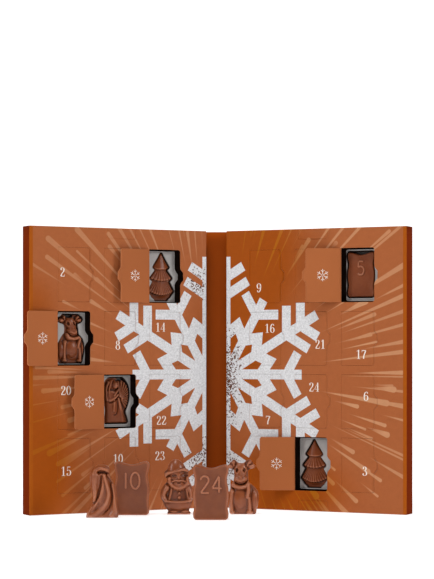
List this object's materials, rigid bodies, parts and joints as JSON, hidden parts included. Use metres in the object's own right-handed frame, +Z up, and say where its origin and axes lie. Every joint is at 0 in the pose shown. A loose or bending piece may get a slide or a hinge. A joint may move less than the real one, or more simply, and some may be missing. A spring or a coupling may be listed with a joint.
{
  "type": "chocolate advent calendar",
  "caption": "Book-shaped chocolate advent calendar standing open, with numbered fold-out doors, formed trays and small moulded chocolates in front.",
  "frame": {"origin": "centre of the spine panel's bottom edge face", "axes": "+X to the right as the reader sees it, +Z up, -Y towards the reader"},
  "size_m": [0.403, 0.1695, 0.297],
  "materials": {
    "printed_card": "printed paperboard, soft sheen",
    "door_card": "printed paperboard, plain inside",
    "cover_board": "board wrapped in printed paper",
    "tray_plastic": "thin formed sheet, dark and glossy",
    "chocolate": "moulded milk chocolate, soft gloss"
  },
  "bodies": {
    "spine": {"spine_panel": "cover_board"},
    "left_leaf": {"left_carton": "printed_card", "left_back_cover": "cover_board", "left_tray": "tray_plastic", "left_top_flap": "printed_card", "left_bottom_flap": "printed_card", "chocolate_18_slab": "chocolate", "chocolate_08_tree": "chocolate", "chocolate_14_sack": "chocolate", "chocolate_20_figure": "chocolate", "chocolate_22_angel": "chocolate", "chocolate_23_reindeer": "chocolate"},
    "right_leaf": {"right_carton": "printed_card", "right_back_cover": "cover_board", "right_tray": "tray_plastic", "right_top_flap": "printed_card", "right_bottom_flap": "printed_card", "chocolate_04_tree": "chocolate", "chocolate_16_figure": "chocolate", "chocolate_21_angel": "chocolate", "chocolate_17_sack": "chocolate", "chocolate_07_slab": "chocolate", "chocolate_06_reindeer": "chocolate", "chocolate_12_figure": "chocolate", "chocolate_03_sack": "chocolate"},
    "door_02_body": {"door_02": "door_card"},
    "door_18_body": {"door_18": "door_card"},
    "door_05_body": {"door_05": "door_card"},
    "chocolate_05_tree_body": {"chocolate_05_tree": "chocolate"},
    "door_11_body": {"door_11": "door_card"},
    "chocolate_11_reindeer_body": {"chocolate_11_reindeer": "chocolate"},
    "door_08_body": {"door_08": "door_card"},
    "door_14_body": {"door_14": "door_card"},
    "door_20_body": {"door_20": "door_card"},
    "door_01_body": {"door_01": "door_card"},
    "chocolate_01_angel_body": {"chocolate_01_angel": "chocolate"},
    "door_22_body": {"door_22": "door_card"},
    "door_15_body": {"door_15": "door_card"},
    "door_10_body": {"door_10": "door_card"},
    "door_23_body": {"door_23": "door_card"},
    "door_09_body": {"door_09": "door_card"},
    "door_04_body": {"door_04": "door_card"},
    "door_19_body": {"door_19": "door_card"},
    "chocolate_19_slab_body": {"chocolate_19_slab": "chocolate"},
    "door_16_body": {"door_16": "door_card"},
    "door_21_body": {"door_21": "door_card"},
    "door_17_body": {"door_17": "door_card"},
    "door_07_body": {"door_07": "door_card"},
    "door_24_body": {"door_24": "door_card"},
    "door_06_body": {"door_06": "door_card"},
    "door_12_body": {"door_12": "door_card"},
    "door_13_body": {"door_13": "door_card"},
    "chocolate_13_tree_body": {"chocolate_13_tree": "chocolate"},
    "door_03_body": {"door_03": "door_card"},
    "chocolate_02_sack_body": {"chocolate_02_sack": "chocolate"},
    "chocolate_10_slab_body": {"chocolate_10_slab": "chocolate"},
    "chocolate_15_figure_body": {"chocolate_15_figure": "chocolate"},
    "chocolate_24_slab_body": {"chocolate_24_slab": "chocolate"},
    "chocolate_09_reindeer_body": {"chocolate_09_reindeer": "chocolate"}
  },
  "joints": [
    {"name": "left_leaf_fold", "type": "hinge", "parent": "spine", "child": "left_leaf", "pos_m": [-0.0187, -0.0008, 0.1485], "axis": [0, 0, -1], "range_deg": [-12, 28]},
    {"name": "right_leaf_fold", "type": "hinge", "parent": "spine", "child": "right_leaf", "pos_m": [0.0187, -0.0008, 0.1485], "axis": [0, 0, 1], "range_deg": [-24, 25.4]},
    {"name": "door_02_fold", "type": "hinge", "parent": "left_leaf", "child": "door_02_body", "pos_m": [-0.16337, -0.09879, 0.2476], "axis": [0, 0, -1], "range_deg": [0, 170]},
    {"name": "door_18_fold", "type": "hinge", "parent": "left_leaf", "child": "door_18_body", "pos_m": [-0.11701, -0.07394, 0.2476], "axis": [0, 0, -1], "range_deg": [0, 2]},
    {"name": "door_05_fold", "type": "hinge", "parent": "left_leaf", "child": "door_05_body", "pos_m": [-0.07065, -0.04908, 0.2476], "axis": [0, 0, -1], "range_deg": [-170, 0]},
    {"name": "chocolate_05_lift", "type": "slide", "parent": "left_leaf", "child": "chocolate_05_tree_body", "axis": [0.4726, -0.8813, 0], "range_m": [0, 0.03]},
    {"name": "door_11_fold", "type": "hinge", "parent": "left_leaf", "child": "door_11_body", "pos_m": [-0.16337, -0.09879, 0.1815], "axis": [0, 0, -1], "range_deg": [-170, 0]},
    {"name": "chocolate_11_lift", "type": "slide", "parent": "left_leaf", "child": "chocolate_11_reindeer_body", "axis": [0.4726, -0.8813, 0], "range_m": [0, 0.03]},
    {"name": "door_08_fold", "type": "hinge", "parent": "left_leaf", "child": "door_08_body", "pos_m": [-0.11701, -0.07394, 0.1815], "axis": [0, 0, -1], "range_deg": [0, 100]},
    {"name": "door_14_fold", "type": "hinge", "parent": "left_leaf", "child": "door_14_body", "pos_m": [-0.07065, -0.04908, 0.1815], "axis": [0, 0, -1], "range_deg": [0, 170]},
    {"name": "door_20_fold", "type": "hinge", "parent": "left_leaf", "child": "door_20_body", "pos_m": [-0.16337, -0.09879, 0.1155], "axis": [0, 0, -1], "range_deg": [0, 2]},
    {"name": "door_01_fold", "type": "hinge", "parent": "left_leaf", "child": "door_01_body", "pos_m": [-0.11701, -0.07394, 0.1155], "axis": [0, 0, -1], "range_deg": [-170, 0]},
    {"name": "chocolate_01_lift", "type": "slide", "parent": "left_leaf", "child": "chocolate_01_angel_body", "axis": [0.4726, -0.8813, 0], "range_m": [0, 0.03]},
    {"name": "door_22_fold", "type": "hinge", "parent": "left_leaf", "child": "door_22_body", "pos_m": [-0.07065, -0.04908, 0.1155], "axis": [0, 0, -1], "range_deg": [0, 100]},
    {"name": "door_15_fold", "type": "hinge", "parent": "left_leaf", "child": "door_15_body", "pos_m": [-0.16337, -0.09879, 0.0494], "axis": [0, 0, -1], "range_deg": [0, 170]},
    {"name": "door_10_fold", "type": "hinge", "parent": "left_leaf", "child": "door_10_body", "pos_m": [-0.11701, -0.07394, 0.0494], "axis": [0, 0, -1], "range_deg": [0, 70]},
    {"name": "door_23_fold", "type": "hinge", "parent": "left_leaf", "child": "door_23_body", "pos_m": [-0.07065, -0.04908, 0.0494], "axis": [0, 0, -1], "range_deg": [0, 170]},
    {"name": "door_09_fold", "type": "hinge", "parent": "right_leaf", "child": "door_09_body", "pos_m": [0.03563, -0.02887, 0.2476], "axis": [0, 0, -1], "range_deg": [0, 170]},
    {"name": "door_04_fold", "type": "hinge", "parent": "right_leaf", "child": "door_04_body", "pos_m": [0.08307, -0.0516, 0.2476], "axis": [0, 0, -1], "range_deg": [0, 6]},
    {"name": "door_19_fold", "type": "hinge", "parent": "right_leaf", "child": "door_19_body", "pos_m": [0.13051, -0.07433, 0.2476], "axis": [0, 0, -1], "range_deg": [-158, 0]},
    {"name": "chocolate_19_lift", "type": "slide", "parent": "right_leaf", "child": "chocolate_19_slab_body", "axis": [-0.4321, -0.9018, 0], "range_m": [0, 0.03]},
    {"name": "door_16_fold", "type": "hinge", "parent": "right_leaf", "child": "door_16_body", "pos_m": [0.03563, -0.02887, 0.1815], "axis": [0, 0, -1], "range_deg": [0, 170]},
    {"name": "door_21_fold", "type": "hinge", "parent": "right_leaf", "child": "door_21_body", "pos_m": [0.08307, -0.0516, 0.1815], "axis": [0, 0, -1], "range_deg": [0, 170]},
    {"name": "door_17_fold", "type": "hinge", "parent": "right_leaf", "child": "door_17_body", "pos_m": [0.13051, -0.07433, 0.1815], "axis": [0, 0, -1], "range_deg": [0, 170]},
    {"name": "door_07_fold", "type": "hinge", "parent": "right_leaf", "child": "door_07_body", "pos_m": [0.03563, -0.02887, 0.1155], "axis": [0, 0, -1], "range_deg": [0, 170]},
    {"name": "door_24_fold", "type": "hinge", "parent": "right_leaf", "child": "door_24_body", "pos_m": [0.08307, -0.0516, 0.1155], "axis": [0, 0, -1], "range_deg": [0, 170]},
    {"name": "door_06_fold", "type": "hinge", "parent": "right_leaf", "child": "door_06_body", "pos_m": [0.13051, -0.07433, 0.1155], "axis": [0, 0, -1], "range_deg": [0, 170]},
    {"name": "door_12_fold", "type": "hinge", "parent": "right_leaf", "child": "door_12_body", "pos_m": [0.03563, -0.02887, 0.0494], "axis": [0, 0, -1], "range_deg": [0, 6]},
    {"name": "door_13_fold", "type": "hinge", "parent": "right_leaf", "child": "door_13_body", "pos_m": [0.08307, -0.0516, 0.0494], "axis": [0, 0, -1], "range_deg": [-158, 0]},
    {"name": "chocolate_13_lift", "type": "slide", "parent": "right_leaf", "child": "chocolate_13_tree_body", "axis": [-0.4321, -0.9018, 0], "range_m": [0, 0.03]},
    {"name": "door_03_fold", "type": "hinge", "parent": "right_leaf", "child": "door_03_body", "pos_m": [0.13051, -0.07433, 0.0494], "axis": [0, 0, -1], "range_deg": [0, 100]},
    {"name": "chocolate_02_lift", "type": "slide", "parent": "spine", "child": "chocolate_02_sack_body", "axis": [0, 0, 1], "range_m": [0, 0.08]},
    {"name": "chocolate_10_lift", "type": "slide", "parent": "spine", "child": "chocolate_10_slab_body", "axis": [0, 0, 1], "range_m": [0, 0.08]},
    {"name": "chocolate_15_lift", "type": "slide", "parent": "spine", "child": "chocolate_15_figure_body", "axis": [0, 0, 1], "range_m": [0, 0.08]},
    {"name": "chocolate_24_lift", "type": "slide", "parent": "spine", "child": "chocolate_24_slab_body", "axis": [0, 0, 1], "range_m": [0, 0.08]},
    {"name": "chocolate_09_lift", "type": "slide", "parent": "spine", "child": "chocolate_09_reindeer_body", "axis": [0, 0, 1], "range_m": [0, 0.08]}
  ]
}
